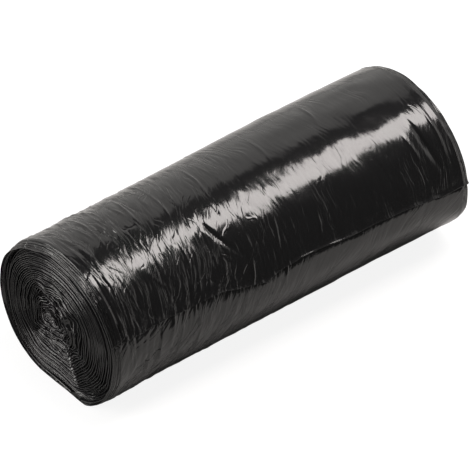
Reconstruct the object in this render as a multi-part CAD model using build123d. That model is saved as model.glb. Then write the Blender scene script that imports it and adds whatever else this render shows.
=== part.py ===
"""A coreless roll of refuse sacks, in millimetres.

One long web of black film, folded flat and wound on itself, lies along X with its flat on the floor.
+X runs along the roll, +Z is up, and the loose tail of the web ends on the -Y side, the front.
All the turns are one solid. The outer turn ends in a step along the roll, both ends show the spiral of
the turns, and the middle, which has no tube, has caved in.
"""

import os

from build123d import *

# Overall sizes
ROLL_LENGTH = 229.0  # the folded web's width: an 18 inch tube, folded once
ROLL_WIDTH = 93.0  # the soft roll has settled, so it is wider than it is high
ROLL_HEIGHT = 81.0
WIDEST_HEIGHT = 39.0  # the section's widest place, above the floor
FLAT_FRONT = 14.0  # the flat that the roll rests on, to each side of the middle
FLAT_BACK = 10.0

# The outer turn of the web
WEB_THICKNESS = 0.6  # one turn of folded film with the air in its folds
TAIL_ANGLE = 12.0  # degrees from the widest place up to the web's loose edge
FAR_SET_BACK = 3.0  # the outer turn stops this far short of the +X end

# The soft rim of each end, where the last turns stand back in steps
RIM_STEPS = 4
RIM_WIDTH = 2.4  # across the turns
NEAR_RIM_DEPTH = 2.4  # along the roll, at the -X end
FAR_RIM_DEPTH = 1.2

# The caved-in middle of each end
CORE_LENGTH = 25.0
CORE_HEIGHT = 11.0
CORE_DEPTH = 4.0
CORE_TILT = 18.0  # degrees that the crushed eye leans, higher at the back
CORE_OFFSET = 10.0  # the eye lies this far behind the middle
CORE_MARGIN = 5.0  # from the eye to the innermost whole turn
FOLD_COUNT = 5  # folds of the web's first end, standing in the hollow
FOLD_THICKNESS = 0.9
FOLD_LEAN = 20.0  # degrees, to one side and the other in turn
FOLD_SHARE = 0.7  # of the hollow's height

# The spiral of turns on each end
SPIRAL_START = 3.6  # from the outside of the roll to the first groove
SPIRAL_TURNS = 11
GROOVE_WIDTH = 0.7
GROOVE_DEPTH = 1.2

NEAR_END = -ROLL_LENGTH / 2
FAR_END = ROLL_LENGTH / 2


def turn_sizes(inset, share=0.0):
    """How far a turn reaches from the middle line: forwards, up, backwards and down.

    share runs from 0 at the outermost turn to 1 at the innermost one, round the eye, and
    inset is a distance further in.
    """
    outermost = (ROLL_WIDTH / 2, ROLL_HEIGHT - WIDEST_HEIGHT, ROLL_WIDTH / 2, WIDEST_HEIGHT)
    eye_width = CORE_LENGTH / 2 + CORE_MARGIN + SPIRAL_START
    eye_height = CORE_HEIGHT / 2 + CORE_MARGIN + SPIRAL_START
    innermost = (eye_width - CORE_OFFSET, eye_height, eye_width + CORE_OFFSET, eye_height)
    return [out + (inner - out) * share - inset for out, inner in zip(outermost, innermost)]


def side_arc(middle_y, y_radius, z_radius, start_angle, arc_size=90):
    """An arc of an ellipse centred at the widest height, with angles from +Y towards +Z."""
    return EllipticalCenterArc(
        center=(middle_y, WIDEST_HEIGHT),
        x_radius=y_radius,
        y_radius=z_radius,
        start_angle=start_angle,
        arc_size=arc_size,
    )


def lower_half(back, down, front, share=0.0):
    """The lower half of a turn, from its back side along the flat to its front side."""
    middle = CORE_OFFSET * share
    flat_front = middle - FLAT_FRONT * down / WIDEST_HEIGHT
    flat_back = middle + FLAT_BACK * down / WIDEST_HEIGHT
    floor = WIDEST_HEIGHT - down
    return [
        side_arc(flat_back, back - flat_back, down, 270),
        Line((flat_back, floor), (flat_front, floor)),
        side_arc(flat_front, front + flat_front, down, 180),
    ]


def turn_outline(inset):
    """The closed outline of the roll at one turn, with the step of the web's loose edge."""
    front, up, back, down = turn_sizes(inset)
    flap = side_arc(0, front + WEB_THICKNESS, up, 90, 90 - TAIL_ANGLE)
    under_flap = side_arc(0, front, up - WEB_THICKNESS, 180 - TAIL_ANGLE, TAIL_ANGLE)
    step = Line(flap @ 1, under_flap @ 0)
    over_back = side_arc(0, back, up, 0)
    return make_face([flap, over_back, *lower_half(back, down, front), under_flap, step])


def spiral_edges(inset):
    """A spiral of quarter arcs that starts at the front and winds inwards over the top."""
    edges = []
    for turn in range(SPIRAL_TURNS):
        shares = [(turn + quarter / 4) / SPIRAL_TURNS for quarter in range(5)]
        front = turn_sizes(inset, shares[0])[0]
        up = turn_sizes(inset, shares[1])[1]
        back = turn_sizes(inset, shares[2])[2]
        down = turn_sizes(inset, shares[3])[3]
        next_front = turn_sizes(inset, shares[4])[0]
        crown = CORE_OFFSET * shares[1]
        edges.append(side_arc(crown, front + crown, up, 90))
        edges.append(side_arc(crown, back - crown, up, 0))
        edges += lower_half(back, down, next_front, shares[3])
    return edges


def spiral_groove():
    """The flat shape of the gap between the turns, as it shows on an end of the roll."""
    walls = (SPIRAL_START, SPIRAL_START + GROOVE_WIDTH)
    edges = spiral_edges(walls[0]) + spiral_edges(walls[1])
    for share in (0, 1):
        ends = [(-turn_sizes(inset, share)[0], WIDEST_HEIGHT) for inset in walls]
        edges.append(Line(*ends))
    return make_face(edges)


def core_hollow():
    """The eye-shaped hollow left by the mandrel, less the folds of film that stand in it."""
    eye = Ellipse(CORE_LENGTH / 2, CORE_HEIGHT / 2)
    pitch = CORE_LENGTH / (FOLD_COUNT + 1)
    for fold in range(FOLD_COUNT):
        along = (fold + 1) * pitch - CORE_LENGTH / 2
        lean = FOLD_LEAN if fold % 2 else -FOLD_LEAN
        fold_shape = Rectangle(FOLD_THICKNESS, CORE_HEIGHT * FOLD_SHARE)
        eye -= Pos(along, 0) * Rot(0, 0, lean) * fold_shape
    return Pos(CORE_OFFSET, WIDEST_HEIGHT) * Rot(0, 0, CORE_TILT) * eye


def slab(outline, x_from, x_to):
    """A flat outline, drawn with Y to the right and Z up, as a solid from one X to another."""
    return Plane.YZ.offset(x_from) * extrude(outline, amount=x_to - x_from)


def wound_web():
    """The plain wound body: the outer turn, and inside it the turns that reach further out."""
    body = slab(turn_outline(0), NEAR_END + NEAR_RIM_DEPTH, FAR_END - FAR_SET_BACK)
    for step in range(RIM_STEPS):
        across = step / (RIM_STEPS - 1)
        inset = WEB_THICKNESS + (RIM_WIDTH - WEB_THICKNESS) * across
        set_back = (1 - across) ** 2 * (1 - 1 / RIM_STEPS)
        body += slab(
            turn_outline(inset),
            NEAR_END + NEAR_RIM_DEPTH * set_back,
            FAR_END - FAR_RIM_DEPTH * set_back,
        )
    return body


def bag_roll():
    """The whole roll, with the spiral and the caved-in middle cut into both ends."""
    roll = wound_web()
    for cut, depth in ((spiral_groove(), GROOVE_DEPTH), (core_hollow(), CORE_DEPTH)):
        roll -= slab(cut, NEAR_END, NEAR_END + depth)
        roll -= slab(cut, FAR_END - depth, FAR_END)
    return roll


os.makedirs("parts", exist_ok=True)
export_step(bag_roll(), "parts/bag_roll.step")
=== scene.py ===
# %% [markdown]
# # A roll of black refuse sacks
#
# The real thing is one long web of thin polythene film, folded flat and wound on itself with no tube.
# Each cell below makes one part of its look. The roll lies along X, the floor is at Z = 0, and the
# loose edge of the web, the tail, lies along the front, which is the -Y side.
#
# The engineering model gives the roll's place and size. It is loaded first, and everything that is
# modelled here is worked out from its box.

# %% Load the frame
import math

import bmesh
import bpy
import numpy as np
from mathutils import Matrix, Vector


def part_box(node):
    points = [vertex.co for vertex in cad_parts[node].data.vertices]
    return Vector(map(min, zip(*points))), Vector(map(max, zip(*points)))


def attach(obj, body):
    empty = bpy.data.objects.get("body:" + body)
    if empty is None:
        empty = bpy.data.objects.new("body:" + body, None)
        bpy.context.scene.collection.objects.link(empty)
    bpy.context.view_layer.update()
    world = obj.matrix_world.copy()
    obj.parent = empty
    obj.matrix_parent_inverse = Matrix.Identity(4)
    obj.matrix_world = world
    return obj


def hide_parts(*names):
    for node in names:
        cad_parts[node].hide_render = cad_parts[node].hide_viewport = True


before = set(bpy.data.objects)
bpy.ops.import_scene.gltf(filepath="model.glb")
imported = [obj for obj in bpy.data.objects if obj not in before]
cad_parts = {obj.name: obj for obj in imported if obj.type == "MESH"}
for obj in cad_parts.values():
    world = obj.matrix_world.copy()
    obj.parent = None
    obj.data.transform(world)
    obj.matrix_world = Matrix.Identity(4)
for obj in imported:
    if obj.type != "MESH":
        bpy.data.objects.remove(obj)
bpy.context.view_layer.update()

MM = 0.001
roll_low, roll_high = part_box("bag_roll")
NEAR_END, FAR_END = roll_low.x, roll_high.x
HALF_WIDTH = (roll_high.y - roll_low.y) / 2
HEIGHT = roll_high.z
print("roll box in mm:", [round(value / MM, 1) for value in (*roll_low, *roll_high)])

# %% [markdown]
# ## Camera
#
# A long lens from far away keeps the two ends of the roll nearly the same size, as in a catalogue
# picture. The camera is placed by turning round the roll, so its two angles are the values to change.

# %% Camera
CAMERA_AZIMUTH = math.radians(-38.9)  # from straight in front, towards the near end
CAMERA_ELEVATION = math.radians(39.2)
CAMERA_DISTANCE = 4.9
VIEW_DEPTH = 20
AIM = Vector((-0.0010, -0.0008, 0.0382))
LENS = 740

to_camera = Vector((
    math.sin(CAMERA_AZIMUTH) * math.cos(CAMERA_ELEVATION),
    -math.cos(CAMERA_AZIMUTH) * math.cos(CAMERA_ELEVATION),
    math.sin(CAMERA_ELEVATION),
))
camera_data = bpy.data.cameras.new("camera")
camera_data.lens = LENS
camera_data.clip_end = VIEW_DEPTH
camera = bpy.data.objects.new("camera", camera_data)
camera.location = AIM + to_camera * CAMERA_DISTANCE
camera.rotation_mode = "QUATERNION"
camera.rotation_quaternion = to_camera.to_track_quat("Z", "Y")
bpy.context.scene.collection.objects.link(camera)
bpy.context.scene.camera = camera
bpy.context.scene.view_settings.view_transform = "Standard"
print("camera at:", [round(value, 2) for value in camera.location])

# %% [markdown]
# ## Light
#
# Black film has almost no colour of its own: all that shows is what it mirrors. One soft box overhead
# gives the long highlight, a white backdrop behind gives the grey of the upper side, the pale floor
# gives the grey of the lower side, and the dark studio in front gives the black between them.
# The lamp could be smaller and stronger, but then other colours would burn out in the same light, so
# it stays large and at a plain level.

# %% Soft box
LAMP_SIZE = (1.10, 0.36)
LAMP_PLACE = Vector((0.52, -0.10, 0.86))
LAMP_RADIANCE = 11.5
LAMP_COLOR = (1.0, 0.95, 0.925)

lamp_data = bpy.data.lights.new("soft_box", "AREA")
lamp_data.shape = "ELLIPSE"
lamp_data.color = LAMP_COLOR
lamp_data.size, lamp_data.size_y = LAMP_SIZE
lamp_area = math.pi / 4 * LAMP_SIZE[0] * LAMP_SIZE[1]
lamp_data.energy = LAMP_RADIANCE * math.pi * lamp_area
lamp = bpy.data.objects.new("soft_box", lamp_data)
lamp.location = LAMP_PLACE
lamp.visible_camera = False
bpy.context.scene.collection.objects.link(lamp)
print("soft box power in watts:", round(lamp_data.energy, 1))

# %% [markdown]
# ## Node helpers
#
# The world, the floor and the film are all nets of nodes. In the window each node would be added and
# joined by hand. Three helpers do the same in a line, so that the nets below read like sums.

# %% Node helpers
def add_node(tree, kind, inputs=None, **settings):
    """A new node with its settings, and with each input either a number or a socket to link from."""
    node = tree.nodes.new(kind)
    for name, value in settings.items():
        setattr(node, name, value)
    for key, value in (inputs or {}).items():
        if isinstance(value, bpy.types.NodeSocket):
            tree.links.new(value, node.inputs[key])
        else:
            node.inputs[key].default_value = value
    return node


def add_math(tree, operation, *values):
    """The result of one sum, as a socket."""
    return add_node(tree, "ShaderNodeMath", dict(enumerate(values)), operation=operation).outputs[0]


def add_ramp(tree, value, start, end, low=0.0, high=1.0):
    """A smooth step from low at start to high at end, as a socket."""
    node = add_node(
        tree,
        "ShaderNodeMapRange",
        {"Value": value, "From Min": start, "From Max": end, "To Min": low, "To Max": high},
        interpolation_type="SMOOTHSTEP",
    )
    return node.outputs["Result"]


# %% [markdown]
# ## World
#
# The world is white to the camera. What the film mirrors is the studio: a white backdrop that ends a
# little behind the top, darkness in front of it, and a white card at each end of the roll. Real
# boards could stand round the roll, but they would show in other views, so they are painted on the sky.

# %% World
BACKDROP_TOP = math.radians(-31)  # from straight up; backwards is negative
BACKDROP_FADE = 0.05  # half the width of its soft edge, in radians
BACKDROP_BRIGHTNESS = 0.85
STUDIO_BRIGHTNESS = 0.11
STUDIO_COLOR = (1.0, 0.975, 0.94, 1)
WHITE = (1, 1, 1, 1)
# The cards light the turn edges and the sides of the creases: the direction of each, where it begins
# and where it is full, as cosines, and its brightness.
CARDS = (
    (Vector((-0.84, 0.48, 0.20)).normalized(), 0.86, 0.96, 8.0),
    (Vector((0.96, -0.20, 0.16)).normalized(), 0.82, 0.94, 0.75),
)

world = bpy.data.worlds.new("studio")
world.use_nodes = True
bpy.context.scene.world = world
tree = world.node_tree
tree.nodes.clear()
direction = add_node(tree, "ShaderNodeTexCoord").outputs["Generated"]
parts = add_node(tree, "ShaderNodeSeparateXYZ", {0: direction}).outputs
forwards = add_math(tree, "MULTIPLY", parts["Y"], -1.0)
angle = add_math(tree, "ARCTAN2", forwards, parts["Z"])
fade_start, fade_end = BACKDROP_TOP - BACKDROP_FADE, BACKDROP_TOP + BACKDROP_FADE
brightness = add_ramp(tree, angle, fade_start, fade_end, BACKDROP_BRIGHTNESS, STUDIO_BRIGHTNESS)
for card_direction, begins, full, card_brightness in CARDS:
    towards_card = add_node(
        tree, "ShaderNodeVectorMath", {0: direction, 1: card_direction}, operation="DOT_PRODUCT"
    ).outputs["Value"]
    card = add_ramp(tree, towards_card, begins, full, 0.0, card_brightness)
    brightness = add_math(tree, "ADD", brightness, card)
is_camera = add_node(tree, "ShaderNodeLightPath").outputs["Is Camera Ray"]
mirrored = add_node(tree, "ShaderNodeBackground", {"Color": STUDIO_COLOR, "Strength": brightness})
seen = add_node(tree, "ShaderNodeBackground", {"Color": WHITE, "Strength": 1.0})
surround = add_node(
    tree, "ShaderNodeMixShader", {0: is_camera, 1: mirrored.outputs[0], 2: seen.outputs[0]}
)
add_node(tree, "ShaderNodeOutputWorld", {"Surface": surround.outputs[0]})
print("nodes in the world:", len(tree.nodes))

# %% [markdown]
# ## Floor
#
# A plain pale sheet. It reaches far behind the roll, where a low camera looks along it, and ends a
# little way in front, so that the lower side of the roll mirrors the sheet and the dark beyond it.

# %% Floor
FLOOR_FRONT, FLOOR_BACK = -0.20, 2.0
FLOOR_SIDE = 2.0

bpy.ops.object.select_all(action="DESELECT")
bpy.ops.mesh.primitive_plane_add(size=1, location=(0, (FLOOR_FRONT + FLOOR_BACK) / 2, 0))
floor = bpy.context.object
floor.name = "floor"
floor.scale = (2 * FLOOR_SIDE, FLOOR_BACK - FLOOR_FRONT, 1)
bpy.ops.object.transform_apply(location=True, rotation=False, scale=True)
print("floor in m:", [round(value, 2) for value in floor.dimensions])

# %% [markdown]
# Near the roll the floor shows part of its real shading, so the soft shadow stays. Further out the
# camera sees it as plain white, like the world, and the sheet's edge doesn't show.

# %% Floor finish
FLOOR_COLOR = (0.58, 0.58, 0.575, 1)
FLOOR_WHITE = 1.22  # over 1, so that white mixed with the sheet's own shading still comes out white
SHADOW_FADE = 0.72  # how much of the floor's own shading the camera loses close to the roll
SHADOW_END, WHITE_FROM = 0.10, 0.22  # distances from the middle of the roll

floor_material = bpy.data.materials.new("pale_floor")
floor_material.use_nodes = True
tree = floor_material.node_tree
tree.nodes.clear()
place = add_node(tree, "ShaderNodeTexCoord").outputs["Object"]
distance = add_node(tree, "ShaderNodeVectorMath", {0: place}, operation="LENGTH").outputs["Value"]
is_camera = add_node(tree, "ShaderNodeLightPath").outputs["Is Camera Ray"]
whitened = add_ramp(tree, distance, SHADOW_END, WHITE_FROM, SHADOW_FADE, 1.0)
to_the_camera = add_math(tree, "MULTIPLY", whitened, is_camera)
pale = add_node(tree, "ShaderNodeBsdfDiffuse", {"Color": FLOOR_COLOR})
white = add_node(tree, "ShaderNodeEmission", {"Color": WHITE, "Strength": FLOOR_WHITE})
shown = add_node(
    tree, "ShaderNodeMixShader", {0: to_the_camera, 1: pale.outputs[0], 2: white.outputs[0]}
)
add_node(tree, "ShaderNodeOutputMaterial", {"Surface": shown.outputs[0]})
floor.data.materials.append(floor_material)
print("nodes in the floor's finish:", len(tree.nodes))

# %% [markdown]
# ## Random heights
#
# Film is uneven everywhere, but it changes slowly between one fold and the next. A smooth noise gives
# the slow changes. Every random number comes from a fixed seed, so each run gives the same roll.

# %% Random heights
NOISE_TABLE = 256  # the noise repeats after so many units


def smooth_noise(across, along, seed):
    """Smooth hills and dips between -1 and 1, about one of each to two units of across and along."""
    table = np.random.default_rng(seed).uniform(-1, 1, (NOISE_TABLE, NOISE_TABLE))
    across, along = np.broadcast_arrays(across, along)
    row, column = np.floor(across).astype(int), np.floor(along).astype(int)
    u, v = across - row, along - column
    u, v = u * u * (3 - 2 * u), v * v * (3 - 2 * v)

    def corner(down, right):
        return table[(row + down) % NOISE_TABLE, (column + right) % NOISE_TABLE]

    top = corner(0, 0) * (1 - v) + corner(0, 1) * v
    bottom = corner(1, 0) * (1 - v) + corner(1, 1) * v
    return top * (1 - u) + bottom * u


def line_noise(along, seed):
    """Smooth noise that depends on one value only."""
    return smooth_noise(along, 0 * along, seed)


print("a line of noise:", np.round(line_noise(np.arange(6) / 2, 1), 2))

# %% [markdown]
# Many shapes below hold only over part of the roll. These three say where, with smooth borders: a
# single step, a plateau between two steps, and a hump about one place.

# %% Smooth shapes
def smooth_step(value, start, end):
    """0 before start, 1 after end, and a smooth rise between."""
    share = np.clip((value - start) / (end - start), 0, 1)
    return share * share * (3 - 2 * share)


def plateau(value, start, full, fade, end):
    """0 before start and after end, 1 from full to fade, and smooth slopes between."""
    return smooth_step(value, start, full) * (1 - smooth_step(value, fade, end))


def hump(value, middle, half_width):
    """1 at the middle, falling off smoothly to both sides."""
    return np.exp(-(((value - middle) / half_width) ** 2))


print("a plateau:", plateau(np.arange(9) / 2, 0, 1, 3, 4))

# %% [markdown]
# ## The roll's section
#
# The soft roll has settled, so its section is an egg shape with a flat under it: half an ellipse
# above the widest height and a smaller quarter ellipse on each side of the flat. The outline starts
# at the tail on the front, runs over the top, down the back and along the floor, and comes up the
# front again to pass under the tail.

# %% Section
WIDEST_HEIGHT = 39 * MM
FLAT_FRONT, FLAT_BACK = 14 * MM, 10 * MM
TAIL_ANGLE = math.radians(12)


def quarter(middle, width, height, start, end, count=400):
    """Points on an ellipse about the widest height, from one angle to another, from +Y towards +Z."""
    angles = np.linspace(start, end, count)
    return np.column_stack((
        middle + width * np.cos(angles), WIDEST_HEIGHT + height * np.sin(angles)
    ))


def section_outline():
    """The closed outline as points (y, z), starting at the tail."""
    top = HEIGHT - WIDEST_HEIGHT
    turn = math.pi / 2
    upper = quarter(0, HALF_WIDTH, top, 2 * turn - TAIL_ANGLE, 0)
    back = quarter(FLAT_BACK, HALF_WIDTH - FLAT_BACK, WIDEST_HEIGHT, 0, -turn)
    front = quarter(-FLAT_FRONT, HALF_WIDTH - FLAT_FRONT, WIDEST_HEIGHT, -turn, -2 * turn)
    last = quarter(0, HALF_WIDTH, top, 2 * turn, 2 * turn - TAIL_ANGLE)
    return np.concatenate((upper, back, front, last))


outline = section_outline()
outline_steps = np.linalg.norm(np.diff(outline, axis=0), axis=1)
outline_run = np.concatenate(([0], np.cumsum(outline_steps)))
GIRTH = outline_run[-1]
print("girth in mm:", round(GIRTH / MM, 1))

# %% [markdown]
# Places on the film are given by x along the roll and by the run, the length of film from the tail
# round the outline. The lower front corner of the near end is pinched outwards a little.

# %% Places round the section
OUTWARD_REACH = 1.5 * MM  # the outward direction is taken over so much run to each side
CORNER_RUN = GIRTH - 60.5 * MM
CORNER_RISE = 1.5 * MM
CORNER_ROUND, CORNER_ALONG = 11 * MM, 14 * MM  # how far it reaches round and along the roll


def outline_point(run):
    """The point (y, z) on the outline at a run from the tail."""
    run = np.mod(run, GIRTH)
    y = np.interp(run, outline_run, outline[:, 0])
    z = np.interp(run, outline_run, outline[:, 1])
    return np.stack((y, z), -1)


def section_point(run):
    """The point (y, z) and the outward direction at a run from the tail."""
    run = np.mod(run, GIRTH)
    ahead = outline_point(run + OUTWARD_REACH) - outline_point(run - OUTWARD_REACH)
    outward = np.stack((-ahead[..., 1], ahead[..., 0]), -1)
    outward /= np.linalg.norm(outward, axis=-1, keepdims=True)
    return outline_point(run), outward


def pinched_corner(x, run):
    """How far the near end's lower front edge is pinched outwards."""
    return CORNER_RISE * hump(run, CORNER_RUN, CORNER_ROUND) * np.exp(-(x - NEAR_END) / CORNER_ALONG)


print("pinched corner in mm:", np.round(outline_point(CORNER_RUN) / MM, 1))

# %% [markdown]
# ## The film's creases
#
# Film that is wound under tension creases round the roll, so nearly all folds run that way and lean a
# little. A smooth noise would look like melted wax, and the film needs flat facets with sharp edges.
# So each crease is laid on by itself: a ridge with one steep and one gentle side, which starts at
# nothing, grows and dies out again. Where many of them cross, long triangular facets are left.

# %% One crease
def lay_crease(height, x, run, start, middle_x, lean, length, steep, gentle, rise):
    """Adds one crease to the grid of heights: rise is up or down, steep and gentle are its sides."""
    rows = np.flatnonzero((run > start) & (run < start + length))
    if not len(rows):
        return
    share = (run[rows] - start) / length
    strength = rise * np.minimum(share, 1 - share) * 2
    curve = 0.1 * lean * length * np.sin(share * 5)
    centre = middle_x + lean * (share - 0.5) * length + curve
    left, right = (steep, gentle) if rise > 0 else (gentle, steep)
    reach = max(steep, gentle) + abs(lean) * length
    columns = np.flatnonzero(abs(x - middle_x) < reach + 1 * MM)
    if not len(columns):
        return
    offset = x[columns][:, None] - centre[None, :]
    shape = np.where(offset < 0, 1 + offset / left, 1 - offset / right)
    height[np.ix_(columns, rows)] += np.clip(shape, 0, 1) * strength[None, :]


trial_x, trial_run = np.arange(-4, 5) * MM, np.arange(0, 21, 5) * MM
trial = np.zeros((len(trial_x), len(trial_run)))
lay_crease(trial, trial_x, trial_run, 0, 0, 0, 20 * MM, 1 * MM, 3 * MM, 1 * MM)
print("across the middle of a crease in mm:", np.round(trial[:, 2] / MM, 2))

# %% [markdown]
# The creases lean where the web was pulled skew, over the top and up the front. Values at a few
# places along the roll say how much, and the same lean later slants the fine streaks of the finish.

# %% Lean of the creases
LEAN_PLACES = np.array((-115, -100, -75, -35, 5, 60, 115)) * MM
LEAN_SHARES = (0.0, 0.05, 0.35, 0.4, 0.05, 0.0, 0.15)
LEAN_END = 110 * MM  # the creases lean from the tail to here, over the top
UNDER_TAIL = GIRTH - 80 * MM  # and from here on, up the front
UNDER_LEAN = 0.6


def lean_share(x):
    """How far a crease moves along the roll for each step of run, between the tail and LEAN_END."""
    return np.interp(x, LEAN_PLACES, LEAN_SHARES)


def lean_shift(x, run):
    """How far along the roll the creases have moved at a run round it."""
    shift = lean_share(x) * (np.minimum(run, LEAN_END) - LEAN_END / 2)
    return shift + UNDER_LEAN * np.maximum(run - UNDER_TAIL, 0)


def crease_lean(x, run):
    """The slope of lean_shift along the run."""
    return lean_share(x) * (run < LEAN_END) + UNDER_LEAN * (run > UNDER_TAIL)


print("leans in degrees:", np.round(np.degrees(np.arctan(LEAN_SHARES))))

# %% [markdown]
# Sharp folds cover the near end, which has been handled most. The smooth half of the roll has fewer of
# them, and they are half as high.

# %% Sharp folds
SHARP_FOLDS = 620
SHARP_FROM, SHARP_SPREAD, SHARP_CROWDING = 8, 110, 1.3  # from the near end, in millimetres
SHARP_LENGTH, SHARP_WIDTH, SHARP_RISE = (7, 26), (0.7, 1.1), (0.2, 0.62)  # in millimetres
CRUMPLED_END, SMOOTH_START = -75 * MM, -15 * MM  # the crumpling dies out between these places


def add_sharp_folds(height, x, run):
    """Lays the short sharp folds, most of them towards the near end."""
    rng = np.random.default_rng(77)
    for _ in range(SHARP_FOLDS):
        from_end = SHARP_FROM + SHARP_SPREAD * rng.uniform(0, 1) ** SHARP_CROWDING
        middle_x = NEAR_END + from_end * MM
        length = rng.uniform(*SHARP_LENGTH) * MM
        start = rng.uniform(-length, GIRTH)
        lean = crease_lean(middle_x, start) * 0.8 + rng.normal(0, 0.22)
        wide = rng.uniform(*SHARP_WIDTH) * MM
        rise = rng.uniform(*SHARP_RISE) * rng.choice((-1, 1)) * MM
        rise *= 1 - 0.5 * smooth_step(middle_x, CRUMPLED_END, SMOOTH_START)
        lay_crease(height, x, run, start, middle_x, lean, length, wide, wide, rise)


print("sharp folds:", SHARP_FOLDS)

# %% [markdown]
# Close to the near end the film lies in long rings, like the turns under it.

# %% Ring folds
RING_FOLDS = 90
RING_PLACE, RING_LENGTH, RING_RISE = (2, 13), (35, 110), (0.10, 0.26)  # in millimetres
RING_STEEP, RING_GENTLE = 0.55 * MM, 1.3 * MM


def add_ring_folds(height, x, run):
    """Lays the long low folds beside the near end."""
    rng = np.random.default_rng(5)
    for _ in range(RING_FOLDS):
        middle_x = NEAR_END + rng.uniform(*RING_PLACE) * MM
        length = rng.uniform(*RING_LENGTH) * MM
        start = rng.uniform(-length, GIRTH)
        rise = rng.uniform(*RING_RISE) * rng.choice((-1, 1)) * MM
        lean = rng.normal(0.01, 0.03)
        lay_crease(height, x, run, start, middle_x, lean, length, RING_STEEP, RING_GENTLE, rise)


print("ring folds:", RING_FOLDS)

# %% [markdown]
# Creases from the winding cover the whole roll in three sizes, a few large and many small. Each has
# one gentle side and one steep side, as film has when it slides over the turn below.

# %% Winding creases
# How many, and their length, gentle side and rise in millimetres.
WINDING_SIZES = ((300, 26, 4.5, 0.50), (1000, 17, 2.4, 0.30), (2600, 11, 1.3, 0.13))
CRUMPLE_PLACES = np.array((-115, -100, -40, 0, 55, 115)) * MM
CRUMPLE_SHARES = (0.9, 1.0, 0.75, 0.42, 0.30, 0.3)  # how strong they are at those places
CALM_FROM, CALM_START, CALM_END = -20 * MM, 45 * MM, 120 * MM  # the calm patch: x and runs
CALM_SHARE = 0.5


def add_winding_creases(height, x, run):
    """Lays the creases of all three sizes over the whole roll."""
    rng = np.random.default_rng(11)
    for count, length, gentle, rise in WINDING_SIZES:
        for _ in range(count):
            middle_x = rng.uniform(NEAR_END, FAR_END)
            start = rng.uniform(-length * MM, GIRTH)
            lean = crease_lean(middle_x, start) + rng.normal(0, 0.16)
            stretched = length * rng.uniform(0.5, 1.6) * MM
            crumpled = np.interp(middle_x, CRUMPLE_PLACES, CRUMPLE_SHARES)
            amount = rng.uniform(0.3, 1.0) * rng.choice((-1, 1)) * crumpled
            if middle_x > CALM_FROM and CALM_START < start + length / 2 * MM < CALM_END:
                amount *= CALM_SHARE
            wide = gentle * MM * rng.uniform(0.6, 1.4)
            steep = wide * rng.uniform(0.2, 0.6)
            rise_here = rise * MM * amount
            lay_crease(height, x, run, start, middle_x, lean, stretched, steep, wide, rise_here)


print("winding creases:", sum(size[0] for size in WINDING_SIZES))

# %% [markdown]
# The boldest creases are what the eye goes to first, so they aren't left to chance. Each is laid at
# its own place: the diagonal hollow across the top, those on the front and those by the far end.

# %% Long creases
# x and run of both ends, the width of the gentle side and the rise, in millimetres.
LONG_CREASES = (
    (-44, 45, -23, 14, 3.0, -1.1),
    (-84, 31, -68, 13, 1.2, 0.59),
    (0, 29, -9, 8, 1.4, 0.68),
    (-20, 16, -30, -6, 1.3, 0.77),
    (-51, 22, -65, -4, 1.5, 0.77),
    (1, 9, -10, -16, 1.3, 0.68),
    (-72, 14, -80, -12, 1.3, 0.68),
    (-36, 20, -46, -2, 1.2, 0.59),
    (24, 22, 18, 2, 1.3, 0.51),
    (-68, -6, -82, -32, 1.3, 1.3),
    (-56, -10, -71, -36, 1.2, 1.1),
    (-82, -4, -94, -28, 1.2, 1.2),
    (-43, -12, -57, -38, 1.3, 1.1),
    (-90, -10, -101, -34, 1.1, 1.0),
    (93, 44, 101, 8, 3, -1.36),
    (86, 36, 90, 16, 2, 0.85),
    (106, 50, 104, 10, 2, 0.85),
    (-85, 102, -92, 44, 1.4, 0.77),
    (-46, 76, -52, 46, 1.4, 0.68),
    (-60, 90, -70, 52, 1.4, 0.59),
    (-20, 84, -26, 50, 1.6, 0.59),
    (20, 80, 16, 50, 1.8, 0.51),
    (60, 88, 52, 56, 2, 0.59),
)
LONG_STEEP = 0.4  # the steep side as a share of the gentle one


def add_long_creases(height, x, run):
    """Lays the long creases; one that starts below the tail goes on at the other end of the run."""
    for first_x, first_run, last_x, last_run, wide, rise in LONG_CREASES:
        start, length = min(first_run, last_run) * MM, abs(last_run - first_run) * MM
        lean = (last_x - first_x) / (last_run - first_run)
        middle_x = (first_x + last_x) / 2 * MM
        steep, gentle = LONG_STEEP * wide * MM, wide * MM
        for turn in (0, GIRTH):
            lay_crease(
                height, x, run, start + turn, middle_x, lean, length, steep, gentle, rise * MM
            )


print("long creases:", len(LONG_CREASES))

# %% [markdown]
# Under the creases the skin has its own slow shape. It hangs in on the lower front, is full on the
# upper back and by the far end, and is drawn in where it passes below the tail. A few shallow dents
# and bumps are where something pressed.

# %% Shape of the loose skin
# Amounts are in millimetres.
SLOW_WAVES, SLOW_RIPPLES = 0.10, 0.07
NEAR_TAPER, WHOLE_TAPER = 0.7, 0.6
FULL_CORNER, FULL_CORNER_RUN = 2.6, GIRTH - 21 * MM
FULL_BACK, FULL_BACK_RUN, FULL_BACK_X = 1.3, 99 * MM, 45 * MM
UNDER_LIP = 1.5
BROAD_WAVES = 0.22
# Shallow dents: x, run, half size across and along, and rise, in millimetres.
DENTS = (
    (97, 40, 8, 8, 0.9),
    (89, 27, 7, 6, 0.4),
    (105, 20, 6, 8, 0.45),
    (78, 23, 9, 4, 0.45),
    (92, 22, 5, 3, 0.35),
    (101, 27, 3, 4, 0.3),
    (55, 20, 12, 5, 0.3),
    (-45, 30, 6, 5, -0.5),
    (-95, 26, 6, 5, 0.3),
    (10, 45, 14, 5, -0.3),
    (20, 24, 8, 4, 0.35),
    (-5, 27, 6, 4, 0.35),
)


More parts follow.
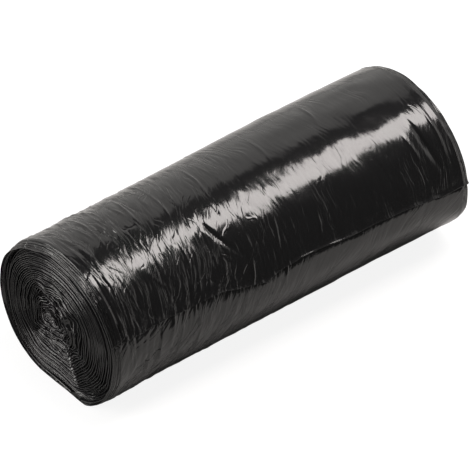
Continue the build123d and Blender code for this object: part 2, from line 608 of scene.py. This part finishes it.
def skin_shape(grid_x, grid_run):
    """The slow rises and hollows of the skin, in metres."""
    height = SLOW_WAVES * MM * smooth_noise(grid_x / (32 * MM), grid_run / (22 * MM), 1)
    height += SLOW_RIPPLES * MM * smooth_noise(grid_x / (7 * MM), grid_run / (11 * MM), 2)
    lower_front = plateau(grid_run, GIRTH - 90 * MM, GIRTH - 50 * MM, GIRTH - 30 * MM, GIRTH)
    taper = NEAR_TAPER * smooth_step(grid_x, NEAR_END + 8 * MM, NEAR_END + 35 * MM)
    taper = taper + WHOLE_TAPER * smooth_step(grid_x, NEAR_END, FAR_END)
    height -= taper * lower_front * MM
    full_corner = np.exp(-(FAR_END - grid_x) / (22 * MM)) * hump(grid_run, FULL_CORNER_RUN, 16 * MM)
    height += FULL_CORNER * MM * full_corner
    full_back = hump(grid_run, FULL_BACK_RUN, 20 * MM) * hump(grid_x, FULL_BACK_X, 65 * MM)
    height += FULL_BACK * MM * full_back
    loose = smooth_step(grid_x, CRUMPLED_END, SMOOTH_START)
    height -= UNDER_LIP * MM * np.exp(-(GIRTH - grid_run) / (2.0 * MM)) * loose
    broad = smooth_noise(grid_x / (11 * MM), grid_run / (8 * MM), 31)
    height += BROAD_WAVES * MM * broad * smooth_step(grid_x, 0, 50 * MM)
    for dent_x, dent_run, wide, long, rise in DENTS:
        dent = hump(grid_x, dent_x * MM, wide * MM) * hump(grid_run, dent_run * MM, long * MM)
        height += rise * MM * dent
    return height


def film_height(x, run):
    """The heights of the film over the plain section, for places x and runs round it."""
    height = skin_shape(*np.meshgrid(x, run, indexing="ij"))
    add_sharp_folds(height, x, run)
    add_ring_folds(height, x, run)
    add_winding_creases(height, x, run)
    add_long_creases(height, x, run)
    return height


print("dents and bumps:", len(DENTS))

# %% [markdown]
# ## Meshes
#
# The skin and the ends are nets of points that are set by formula. They could start as cylinders and
# be pushed about by modifiers, but the step of the tail, the stepped rims and thousands of folds all
# depend on the place along and round the web, which only a formula knows for each point. Each mesh
# carries that place as its map, so that the finish follows the web.

# %% Mesh helpers
def mesh_object(name, points, faces):
    """A new mesh object at the origin."""
    mesh = bpy.data.meshes.new(name)
    mesh.from_pydata(points.tolist(), [], faces)
    mesh.update()
    piece = bpy.data.objects.new(name, mesh)
    bpy.context.scene.collection.objects.link(piece)
    return piece


def lay_web_map(piece, across, along):
    """Gives a piece the map of its web, in millimetres, from two values for each point."""
    corners = np.empty(len(piece.data.loops), int)
    piece.data.loops.foreach_get("vertex_index", corners)
    uv = np.stack((across.ravel(), along.ravel()), -1)[corners]
    piece.data.uv_layers.new(name="web").data.foreach_set("uv", uv.ravel())


def close_shell(piece):
    """Joins points that lie on each other and turns every face outwards."""
    mesh = bmesh.new()
    mesh.from_mesh(piece.data)
    bmesh.ops.remove_doubles(mesh, verts=mesh.verts, dist=0.001 * MM)
    bmesh.ops.recalc_face_normals(mesh, faces=mesh.faces)
    mesh.to_mesh(piece.data)
    mesh.free()


# %% [markdown]
# ## The stepped rims
#
# The outer turns don't stop at the same place, so each end has a rim of small steps with a dark
# groove beside each edge. A bevel would give one clean edge. Instead each step is four columns of
# points: the bottom of the groove, its wall, the edge, and the film behind the edge.

# %% Rims
# How far each turn is set back, how deep it lies, and how deep its groove is, in millimetres.
NEAR_EDGES = (
    (0.0, 1.7, 0.55), (0.7, 1.3, 0.6), (1.5, 0.9, 0.75), (2.4, 0.5, 0.8), (3.5, 0.15, 0.7),
)
FAR_EDGES = ((0.0, 0.75, 0.55), (0.9, 0.6, 0.4), (3.3, 0.0, 0.8))
# The points across one edge: set back in millimetres, and the share of the groove's depth.
EDGE_POINTS = ((0.05, 1.0), (-0.05, 0.55), (0.02, 0.1), (0.25, 0.0))
HIDDEN_BACK, HIDDEN_DEEPER = 4.5, 1.8  # the rim starts out of sight, under the outer turns
TIGHT_SHARE = 0.75  # how much of the steps is lost on the back and below, where the turns lie tight
LOOSE_RUN, LOOSE_REACH, LOOSE_SHARE = 80 * MM, 13 * MM, 0.8  # they stand apart most of all here
BULGE_BACK, BULGE_LOW = 0.7, 0.4  # in millimetres


def end_bulge(run):
    """How far the near end's turns have slid out, most of all at the bottom."""
    fade, end = GIRTH - 60 * MM, GIRTH - 25 * MM
    back = plateau(run, 100 * MM, 130 * MM, fade, end)
    low = plateau(run, 130 * MM, 170 * MM, fade, end)
    return (BULGE_BACK * back + BULGE_LOW * low) * MM


def step_share(run, near):
    """How much of the steps' depth shows round the roll."""
    tight = plateau(run, 98 * MM, 112 * MM, GIRTH - 44 * MM, GIRTH - 30 * MM)
    return 1 - TIGHT_SHARE * tight + LOOSE_SHARE * hump(run, LOOSE_RUN, LOOSE_REACH) * near


def rim_steps(edges, end_x, inwards, run, seed):
    """Columns of x and drop over all runs for a stepped rim, from its hidden start to the outer web."""
    near = inwards > 0
    profile = [(HIDDEN_BACK, edges[0][1] + HIDDEN_DEEPER, 0)]
    for layer, (back, drop, groove) in enumerate(edges):
        for further, deeper in EDGE_POINTS:
            profile.append((back + further, drop + deeper * groove, layer))
    columns_x, columns_drop = [], []
    for back, drop, layer in profile:
        waver = 0.32 * line_noise(run / (16 * MM), seed + layer)
        waver += 0.14 * line_noise(run / (4 * MM), seed + 10 + layer)
        lift = 0.22 * line_noise(run / (9 * MM), seed + 20 + layer)
        lift += 0.10 * line_noise(run / (3 * MM), seed + 30 + layer)
        at_end = min(1, back / 0.5)
        set_back = (back + waver * at_end) * MM
        columns_x.append(end_x + inwards * set_back - end_bulge(run) * near)
        columns_drop.append((drop * step_share(run, near) + lift) * MM)
    return np.array(columns_x), np.array(columns_drop)


print("steps on the near and the far rim:", len(NEAR_EDGES), len(FAR_EDGES))

# %% [markdown]
# ## The tail
#
# The loose edge of the web shows as a thin bright lip with a dark line under it. It isn't quite
# straight, it clings near the crumpled end, and it stands up a little along the smooth part. The skin
# gets it by one step in its height at the start of the run, with rows of points close together there.

# %% Tail
TAIL_PLACES = np.array((-115, -80, -48, -19, 5, 44, 70, 99, 115)) * MM
TAIL_RUNS = np.array((3, 5, 5, -1.6, 2, -1, -1.2, -4.6, -5)) * MM  # how far its edge wanders there
TAIL_LIFT, TAIL_LIFT_VARIES = 1.3, 0.6  # in millimetres
TAIL_SHARE, LIP_SHARE = 0.5, 0.43  # of that lift, over the tail and at its very edge
TAIL_OVERHANG = 1.6 * MM  # how far the edge hangs over the film below


def tail_lift(grid_x, grid_run):
    """How far the tail stands up."""
    loose = smooth_step(grid_x, CRUMPLED_END, SMOOTH_START)
    lift = loose * (TAIL_LIFT + TAIL_LIFT_VARIES * line_noise(grid_x / (9 * MM), 6)) * MM
    tail = TAIL_SHARE * np.exp(-grid_run / (2.5 * MM))
    return lift * (tail + LIP_SHARE * hump(grid_run, 0, 0.7 * MM))


def tail_slide(grid_x, grid_run):
    """How far the film near the tail is moved round the roll."""
    wave = np.interp(grid_x, TAIL_PLACES, TAIL_RUNS)
    wave += 0.35 * MM * line_noise(grid_x / (6 * MM), 8)
    slide = wave * np.exp(-np.minimum(grid_run, GIRTH - grid_run) / (12 * MM))
    slide[:, 0] += TAIL_OVERHANG * smooth_step(grid_x[:, 0], CRUMPLED_END, SMOOTH_START)
    return slide


print("the tail wanders by so many mm:", round(np.ptp(TAIL_RUNS) / MM, 1))

# %% [markdown]
# ## The outer film
#
# The skin is one closed mesh: rows of points go round the section and columns run along the roll,
# with a plain face inside each end to close it. No point goes below the floor.

# %% Grid of the film
COLUMNS = 470  # between the two stepped rims
ROWS = 184
NEAR_PLAIN, FAR_PLAIN = 4.2 * MM, 3.7 * MM  # where the rims end
LIP_ROWS = (0.0, 0.0, 0.15, 0.4, 0.8, 1.3, 2.0)  # runs of the first rows, in millimetres
LAST_ROWS = (1.6, 0.9, 0.3)  # and of the last ones, before the end of the run
PLAIN_FROM = 3 * MM


def film_rows():
    """The runs of all rows, close together at the tail."""
    lip, last = np.array(LIP_ROWS) * MM, GIRTH - np.array(LAST_ROWS) * MM
    plain = np.linspace(PLAIN_FROM, GIRTH - PLAIN_FROM, ROWS - len(lip) - len(last))
    return np.concatenate((lip, plain, last))


def film_columns(run):
    """x and drop of every column at every row, from the near rim to the far rim."""
    near_x, near_drop = rim_steps(NEAR_EDGES, NEAR_END, 1, run, 300)
    far_x, far_drop = rim_steps(FAR_EDGES, FAR_END, -1, run, 400)
    plain_x = np.linspace(NEAR_END + NEAR_PLAIN, FAR_END - FAR_PLAIN, COLUMNS)
    plain_x = np.repeat(plain_x[:, None], ROWS, axis=1)
    grid_x = np.concatenate((near_x, plain_x, far_x[::-1]))
    drop = np.concatenate((near_drop, 0 * plain_x, far_drop[::-1]))
    return grid_x, drop


def tube_faces(columns):
    """Quads of a tube whose points are numbered row by row within each column, and its two ends."""
    column, row = np.meshgrid(np.arange(columns - 1), np.arange(ROWS), indexing="ij")
    here = column * ROWS + row
    following = column * ROWS + (row + 1) % ROWS
    quads = np.stack((here, following, following + ROWS, here + ROWS), -1)
    faces = quads.reshape(-1, 4).tolist()
    faces.append(list(range(ROWS))[::-1])
    faces.append(list(range((columns - 1) * ROWS, columns * ROWS)))
    return faces


print("rows from the tail in mm:", np.round(film_rows()[:9] / MM, 2))

# %% [markdown]
# The web is thickest at the tail and thins to nothing by the end of its first turn, so the film
# passes under its own start. That gives the spiral its step.

# %% Outer film
WEB_THICKNESS = 0.6 * MM
OUTWARD = 0.7 * MM  # how far the loose skin stands off the tight roll
FILM_CLEARANCE = 0.05 * MM  # above the floor
SUNK_SHARE = 0.8  # how much of the steps is kept on the flat, where the film rests on the floor


def outer_film():
    """The skin of the roll with its tail, stepped rims and creases."""
    run = film_rows()
    grid_x, drop = film_columns(run)
    grid_run = np.repeat(run[None, :], len(grid_x), axis=0)
    thick = WEB_THICKNESS * (1 - run / GIRTH)
    height = film_height(grid_x.mean(axis=1), run) + OUTWARD - WEB_THICKNESS + thick[None, :]
    height += pinched_corner(grid_x, grid_run)
    height -= drop
    height[:, 1:] += tail_lift(grid_x, grid_run)[:, 1:]
    height[:, 0] = height[:, -1]

    place, outward = section_point(grid_run)
    onwards = np.stack((outward[..., 1], -outward[..., 0]), -1)
    slide = tail_slide(grid_x, grid_run)
    place = place + outward * height[..., None] + onwards * slide[..., None]
    points = np.concatenate((grid_x[..., None], place), -1).reshape(-1, 3)
    lowest = FILM_CLEARANCE + SUNK_SHARE * np.maximum(drop.ravel(), 0)
    points[:, 2] = np.maximum(points[:, 2], lowest)

    piece = mesh_object("outer_film", points, tube_faces(len(grid_x)))
    piece.data.shade_smooth()
    lay_web_map(piece, (grid_x - lean_shift(grid_x, grid_run)) / MM, grid_run / MM)
    return piece


film = outer_film()
print("outer film in mm:", [round(value / MM, 1) for value in film.dimensions])

# %% [markdown]
# ## The ends of the turns
#
# Each end shows the cut edges of all the turns: tight and even near the outside, then bunched and
# buckled, with a crumpled eye where the winding began. A flat disc with a bump pattern would look
# printed, so the turns are real relief. Rings of points follow one spiral from the outside to the eye.

# %% Spiral of the turns
TURNS = 34
SPOKES = 400
# One turn from groove to groove: shares of its width, and heights in millimetres.
TURN_PROFILE = ((0.0, -2.2), (0.20, -0.9), (0.36, 0.1), (0.5, 0.45), (0.64, 0.1), (0.82, -1.0))
EYE_PLACE = np.array((9 * MM, 36 * MM))  # y and z of the crushed middle
EYE_WIDTH, EYE_HEIGHT = 3.5 * MM, 1.0 * MM  # half of each

profile_shares, profile_heights = np.array(TURN_PROFILE).T
PER_TURN = len(TURN_PROFILE)
ring = np.arange((TURNS + 1) * PER_TURN + 1)
ring_turn = (ring // PER_TURN)[:, None]
ring_share = profile_shares[ring % PER_TURN][:, None]
ring_profile = profile_heights[ring % PER_TURN][:, None]
round_share = (np.arange(SPOKES) / SPOKES)[None, :]
spoke_run = round_share[0] * GIRTH
spoke_angle = math.pi - TAIL_ANGLE - 2 * math.pi * round_share[0]
eye_outline = np.column_stack((EYE_WIDTH * np.cos(spoke_angle), EYE_HEIGHT * np.sin(spoke_angle)))
eye = EYE_PLACE + eye_outline

web_turn = ring_turn + round_share  # how many turns in, counted along the web
inward = np.clip((web_turn + ring_share - 1) / TURNS, 0, 1)  # 0 at the rim and 1 at the eye
crushed = smooth_step(inward, 0.30, 0.72)
free = np.clip(inward * (1 - inward) * 8, 0, 1)  # nothing moves at the rim or in the eye
print("points on each end:", inward.size)

# %% [markdown]
# On the near end the crushed turns bend sharply along one line, and lie open like a fan beside it.
# The line has a sharp crest and dies out past both its ends.

# %% Kink and fan
KINK_START, KINK_END = np.array((-3, 29)) * MM, np.array((-16, 8)) * MM  # y and z
KINK_REACH = 2.2 * MM  # how far it pulls the turns along the line
KINK_STEP = 1.5 * MM  # one facet for each bent turn
KINK_HEIGHT, KINK_SLOPE = 0.8, 0.63
FAN_PLACE = np.array((13, 18)) * MM
FAN_WIDTH, FAN_HEIGHT = 10 * MM, 6 * MM
FAN_FLATTENS, FAN_SLOPE = 0.45, 0.38

kink_line = KINK_END - KINK_START
KINK_LENGTH = np.linalg.norm(kink_line)
kink_direction = kink_line / KINK_LENGTH


def kink_share(y, z, width):
    """1 on the kink line, falling off with a sharp crest beside it and smoothly past its two ends."""
    from_y, from_z = y - KINK_START[0], z - KINK_START[1]
    along = from_y * kink_direction[0] + from_z * kink_direction[1]
    beside = np.abs(from_y * kink_direction[1] - from_z * kink_direction[0])
    ends = plateau(along, -2 * MM, 3 * MM, KINK_LENGTH - 3 * MM, KINK_LENGTH + 2 * MM)
    return np.exp(-beside / width) * ends


def fan_share(y, z):
    """1 in the middle of the open fan, and nothing outside it."""
    return hump(y, FAN_PLACE[0], FAN_WIDTH) * hump(z, FAN_PLACE[1], FAN_HEIGHT)


print("kink in mm:", round(KINK_LENGTH / MM, 1))

# %% [markdown]
# Seen from the end, the turns crowd together and spread. Each could be drawn as a curve of its own,
# but then they would cross. Instead a smooth noise moves all of them, so neighbours move together.

# %% Places of the turns
BUNCHES = ((11, 0.034, 0), (4.5, 0.020, 1))  # size in millimetres, share of the way in, and seed
WARPS = ((6, 2.0, 2), (2.8, 0.9, 7))  # size and amount in millimetres, and seed


def end_noise(y, z, size, seed):
    """Smooth noise over an end, with hills of about that many millimetres."""
    return smooth_noise(y / (size * MM), z / (size * MM), seed)


def between(rim, share):
    """Places from the rim to the eye."""
    return rim * (1 - share[..., None]) + eye * share[..., None]


def buckled_places(rim, y, z, seed):
    """Where the turns lie once they are bunched and warped; y and z are the plain places."""
    bunch = sum(amount * end_noise(y, z, size, seed + own) for size, amount, own in BUNCHES)
    place = between(rim, inward + bunch * free * (0.25 + 0.75 * crushed))
    for size, amount, own in WARPS:
        warp = amount * MM * free * smooth_step(inward, 0.40, 0.80)
        place[..., 0] += warp * end_noise(y, z, size, seed + own)
        place[..., 1] += warp * end_noise(y, z, size, seed + own + 1)
    return place


most = sum(amount for _, amount, _ in BUNCHES) * TURNS
print("turns move inwards or outwards by up to so many widths:", round(most, 1))

# %% [markdown]
# Each turn is a rounded edge between two grooves. Turns stand out and tilt by different amounts, most
# of all towards the crushed middle. A few outer turns lie deep on the back and below, where they have
# come away from the rim and leave a dark gap.

# %% Relief of the turns
GAP_DEPTH = 2.8  # in millimetres
GAP_TURNS = (0.2, 1.0, 3.2, 4.4)  # it starts, is deepest, rises and ends so many turns in
GAP_ROUND = (0.22, 0.34, 0.86, 0.93)  # and the same round the roll, as shares of the girth


def turn_relief(y, z, seed, flattened):
    """How far the turns stand out, in millimetres."""
    stand = 0.85 * line_noise(web_turn * 5, seed + 4) + 0.5 * line_noise(web_turn * 17, seed + 5)
    tilt = 0.9 * line_noise(web_turn * 7, seed + 9) + 0.4 * line_noise(web_turn * 31, seed + 10)
    relief = ring_profile * (0.75 + 0.25 * line_noise(web_turn * 9, seed + 11)) * (1 - flattened)
    relief = relief + stand * (0.45 + 0.55 * crushed) + tilt * (ring_share - 0.5)
    ends = np.clip(inward * TURNS, 0, 1) * np.clip((1 - inward) * TURNS, 0, 1)
    relief = relief * ends + crushed * end_noise(y, z, 5, seed + 6)
    return relief - GAP_DEPTH * plateau(inward * TURNS, *GAP_TURNS) * plateau(round_share, *GAP_ROUND)


def bent_relief(relief, y, z):
    """The relief with the kink's facets and the slope of the fan, for the near end."""
    folded = np.clip(1.7 * kink_share(y, z, 1.3 * MM) - 0.35, 0, 1) * free
    bend = KINK_HEIGHT - KINK_SLOPE * ((z / KINK_STEP) % 1 - 0.5) * KINK_STEP / MM
    relief = relief * (1 - folded) + bend * folded
    return relief + FAN_SLOPE * fan_share(y, z) * (FAN_PLACE[1] - z) / MM


print("the gap in degrees from the tail:", [round(360 * share) for share in GAP_ROUND])

# %% [markdown]
# The faces join each ring to the next. Past the last spoke they join to the ring one turn deeper,
# which makes the rings one spiral. A skirt behind the relief closes it to a shell.

# %% Faces of an end
def spiral_faces():
    """Quads between the rings, as lists of point numbers."""
    rings = len(ring)
    number, spoke = np.meshgrid(np.arange(rings - 1), np.arange(SPOKES), indexing="ij")
    following = (spoke + 1) % SPOKES
    joined = number + np.where(following == 0, PER_TURN, 0)
    here = number * SPOKES + spoke
    there = np.minimum(joined, rings - 1) * SPOKES + following
    below = here + SPOKES
    below_there = np.minimum(joined + 1, rings - 1) * SPOKES + following
    return np.stack((here, there, below_there, below), -1).reshape(-1, 4).tolist()


def skirt_faces():
    """The wall behind the rim, the face at its back, and the face in the eye."""
    first = len(ring) * SPOKES
    faces = []
    for number in range(SPOKES):
        following = (number + 1) % SPOKES
        faces.append([number, first + number, first + following, following])
    faces.append(list(range(first, first + SPOKES)))
    faces.append(list(range(first - SPOKES, first)))
    return faces


print("faces of an end:", len(spiral_faces()) + len(skirt_faces()))

# %% [markdown]
# Both ends are built by the same function, with other random numbers, and only the near end has the
# kink and the fan. Doubled points are merged before the normals are turned outwards.

# %% Turn edges
RIM_INSET = 1.9 * MM
SINK, CRUSHED_SINK = 0.9, 0.8  # how deep the relief lies inside the end, in millimetres
SKIRT_DEPTH = 5 * MM
TURNS_CLEARANCE = 0.15 * MM  # above the floor, so that the turns stay inside the film
MAP_DEPTH, MAP_TURN = 80, 160  # the web's map on an end: millimetres from rim to eye, and a turn


def end_turns(name, end_x, outwards, seed):
    """The relief of turn edges on one end; outwards is -1 at the near end and +1 at the far end."""
    near = outwards < 0
    rim, outward = section_point(spoke_run)
    reach = OUTWARD + pinched_corner(end_x, spoke_run) - RIM_INSET
    rim = rim + outward * reach[:, None]
    plain = between(rim, inward)
    y, z = plain[..., 0], plain[..., 1]
    place = buckled_places(rim, y, z, seed)
    pulled = KINK_REACH * kink_share(y, z, 3.5 * MM) * free * near
    place = place + pulled[..., None] * kink_line / KINK_LENGTH

    relief = turn_relief(y, z, seed, FAN_FLATTENS * fan_share(y, z) * near)
    if near:
        relief = bent_relief(relief, y, z)
    x = end_x + outwards * (relief - SINK - CRUSHED_SINK * crushed) * MM
    x = x - end_bulge(spoke_run)[None, :] * (1 - inward) * near
    points = np.concatenate((x[..., None], place), -1)
    skirt = points[0].copy()
    skirt[:, 0] = end_x - outwards * SKIRT_DEPTH
    points = np.concatenate((points.reshape(-1, 3), skirt))
    points[:, 2] = np.maximum(points[:, 2], TURNS_CLEARANCE)

    piece = mesh_object(name, points, spiral_faces() + skirt_faces())
    map_across = np.concatenate((inward, inward[:1])) * MAP_DEPTH
    map_along = np.concatenate((web_turn, web_turn[:1])) * MAP_TURN
    lay_web_map(piece, map_across, map_along)
    close_shell(piece)
    piece.data.shade_smooth()
    return piece


near_turns = end_turns("near_end_turns", NEAR_END, -1, 100)
far_turns = end_turns("far_end_turns", FAR_END, 1, 200)
print("near end in mm:", [round(value / MM, 1) for value in near_turns.dimensions])

# %% [markdown]
# ## The film's finish
#
# Polythene film is a very dark body under a clear, glossy skin. What makes it look like film is its
# fine relief: long thin streaks that follow the creases, and small sharp folds. They are finer than
# the mesh can hold, so they are a bump in the finish, and they read the web's own map in millimetres.

# %% Patterns on the web
FILM_COLOR = (0.006, 0.006, 0.0065, 1)
FILM_ROUGHNESS = 0.14
FILM_IOR = 1.52
BUMP_DISTANCE = 0.8 * MM


def stretched(tree, web, across, along, offset=0.0):
    """The web's map with one unit to so many millimetres across and along the creases."""
    return add_node(
        tree, "ShaderNodeMapping",
        {"Vector": web, "Location": (offset, offset, 0), "Scale": (1 / across, 1 / along, 1)},
    ).outputs[0]


def noise(tree, vector, detail=0.0):
    """A smooth noise about 0.5."""
    return add_node(
        tree, "ShaderNodeTexNoise", {"Vector": vector, "Scale": 1.0, "Detail": detail}
    ).outputs[0]


def ridge(tree, value):
    """Folds a noise about its middle, which leaves sharp lines."""
    return add_math(tree, "ABSOLUTE", add_math(tree, "SUBTRACT", value, 0.5))


def add_vectors(tree, first, second, operation="ADD"):
    """The sum or the difference of two vectors, as a socket."""
    return add_node(tree, "ShaderNodeVectorMath", {0: first, 1: second}, operation=operation).outputs[0]


print("bump of the film in mm:", round(BUMP_DISTANCE / MM, 2))

# %% [markdown]
# Streaks are a noise that is stretched along the creases and folded about its middle. Two sizes and
# long flat facets are added up, in patches, because handled film is never streaked evenly.

# %% Streaks
# Millimetres across and along the creases, and an offset that keeps the patterns apart.
BROAD_STREAKS, FINE_STREAKS = (3.0, 26, 0.0), (1.2, 13, 3.0)
PATCHES, FACETS = (14, 30, 7.0), (1.7, 15, 5.0)
FINE_SHARE, FACET_SHARE = 0.45, 0.12


def streak_height(tree, web, wave):
    """The height of the streaks and facets, as a socket."""
    patch = add_ramp(tree, noise(tree, stretched(tree, web, *PATCHES)), 0.35, 0.65, 0.25, 1.0)
    broad_map = add_vectors(tree, stretched(tree, web, *BROAD_STREAKS), wave)
    fine_map = add_vectors(tree, stretched(tree, web, *FINE_STREAKS), wave)
    facet_map = add_vectors(tree, stretched(tree, web, *FACETS), wave)
    broad = ridge(tree, noise(tree, broad_map, 1.0))
    fine = ridge(tree, noise(tree, fine_map, 2.0))
    height = add_math(tree, "ADD", broad, add_math(tree, "MULTIPLY", fine, FINE_SHARE))
    height = add_math(tree, "MULTIPLY", height, patch)
    facets = add_node(
        tree, "ShaderNodeTexVoronoi", {"Vector": facet_map, "Scale": 1.0}, feature="F1"
    ).outputs["Distance"]
    return add_math(tree, "ADD", height, add_math(tree, "MULTIPLY", facets, FACET_SHARE))


print("streaks in mm, broad and fine:", BROAD_STREAKS[:2], FINE_STREAKS[:2])

# %% [markdown]
# Small folds are scattered one to a cell of a cell pattern. In each cell a line with a slant and a
# height of its own runs through the middle and fades towards both tips.

# %% Small folds
# Cell size across and along the creases, half a fold's width and its rise as a share of the bump, all
# in millimetres, and an offset that keeps the layers apart.
FOLD_LAYERS = ((5.0, 16, 0.45, 0.20, 11.3), (3.0, 10, 0.35, 0.12, 29.7))
FOLD_SLANT = 0.9


def fold_height(tree, cells, half_wide, rise):
    """The height of one layer of small folds, as a socket; half_wide is a share of a cell."""
    cell = add_node(
        tree, "ShaderNodeTexVoronoi", {"Vector": cells, "Scale": 1.0}, voronoi_dimensions="2D"
    )
    chance = add_node(tree, "ShaderNodeSeparateColor", {0: cell.outputs["Color"]}).outputs
    from_middle = add_vectors(tree, cells, cell.outputs["Position"], "SUBTRACT")
    aside = add_node(tree, "ShaderNodeSeparateXYZ", {0: from_middle}).outputs
    slant = add_ramp(tree, chance[0], 0.0, 1.0, -FOLD_SLANT, FOLD_SLANT)
    beside = add_math(tree, "ADD", aside["X"], add_math(tree, "MULTIPLY", aside["Y"], slant))
    beside = add_math(tree, "ABSOLUTE", beside)
    crest = add_node(
        tree, "ShaderNodeMapRange",
        {"Value": beside, "From Min": 0.0, "From Max": half_wide, "To Min": 1.0, "To Max": 0.0},
    ).outputs[0]
    tips = add_ramp(tree, add_math(tree, "ABSOLUTE", aside["Y"]), 0.15, 0.5, 1.0, 0.0)
    amount = add_ramp(tree, chance[1], 0.0, 1.0, -rise, rise)
    return add_math(tree, "MULTIPLY", add_math(tree, "MULTIPLY", crest, tips), amount)


print("layers of small folds:", len(FOLD_LAYERS))

# %% [markdown]
# Both patterns are strong near the crumpled end and weak on the smooth part. The edges of the turns
# get a second finish of the same film, with quieter streaks and no small folds.

# %% Film finish
CRUMPLED_TO, SMOOTH_FROM = -50 * MM, 15 * MM  # along the roll
SMOOTH_STREAKS, SMOOTH_FOLDS = 0.6, 0.2  # what is left of each pattern on the smooth part


def black_film(name, streaks, folds):
    """Glossy black polythene: a very dark body and a clear skin with fine streaks and small folds."""
    material = bpy.data.materials.new(name)
    material.use_nodes = True
    tree = material.node_tree
    shader = tree.nodes["Principled BSDF"]
    shader.inputs["Base Color"].default_value = FILM_COLOR
    shader.inputs["Roughness"].default_value = FILM_ROUGHNESS
    shader.inputs["IOR"].default_value = FILM_IOR
    web = add_node(tree, "ShaderNodeUVMap", uv_map="web").outputs["UV"]
    wander = add_math(tree, "MULTIPLY", noise(tree, stretched(tree, web, 9, 14)), 3.0)
    wave = add_node(tree, "ShaderNodeCombineXYZ", {0: wander}).outputs[0]
    place = add_node(tree, "ShaderNodeTexCoord").outputs["Object"]
    x = add_node(tree, "ShaderNodeSeparateXYZ", {0: place}).outputs["X"]

    streaked = add_ramp(tree, x, CRUMPLED_TO, SMOOTH_FROM, streaks, SMOOTH_STREAKS * streaks)
    height = add_math(tree, "MULTIPLY", streak_height(tree, web, wave), streaked)
    if folds:
        crumpled = add_ramp(tree, x, CRUMPLED_TO, SMOOTH_FROM, folds, SMOOTH_FOLDS * folds)
        for across, along, half_wide, rise, offset in FOLD_LAYERS:
            cells = add_vectors(tree, stretched(tree, web, across, along, offset), wave)
            fold = fold_height(tree, cells, half_wide / across, rise)
            height = add_math(tree, "ADD", height, add_math(tree, "MULTIPLY", fold, crumpled))
    bump = add_node(
        tree, "ShaderNodeBump", {"Height": height, "Distance": BUMP_DISTANCE, "Strength": 1.0}
    )
    tree.links.new(bump.outputs[0], shader.inputs["Normal"])
    print("nodes in", name, len(tree.nodes))
    return material


film_finish = black_film("black_film", 1.0, 1.0)
turn_finish = black_film("turn_edges", 0.7, 0.0)

# %% [markdown]
# ## Places in the engineering model
#
# All three pieces belong to the one body. Each takes the place of its plain roll, rides on it, and
# keeps its material slot, so that the look and the working part stay one object.

# %% Finish and ride
for piece, finish in ((film, film_finish), (near_turns, turn_finish), (far_turns, turn_finish)):
    piece.data.materials.append(finish)
    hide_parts("bag_roll")
    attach(piece, "root")
    piece.data.calc_loop_triangles()
    print(piece.name, "triangles:", len(piece.data.loop_triangles))
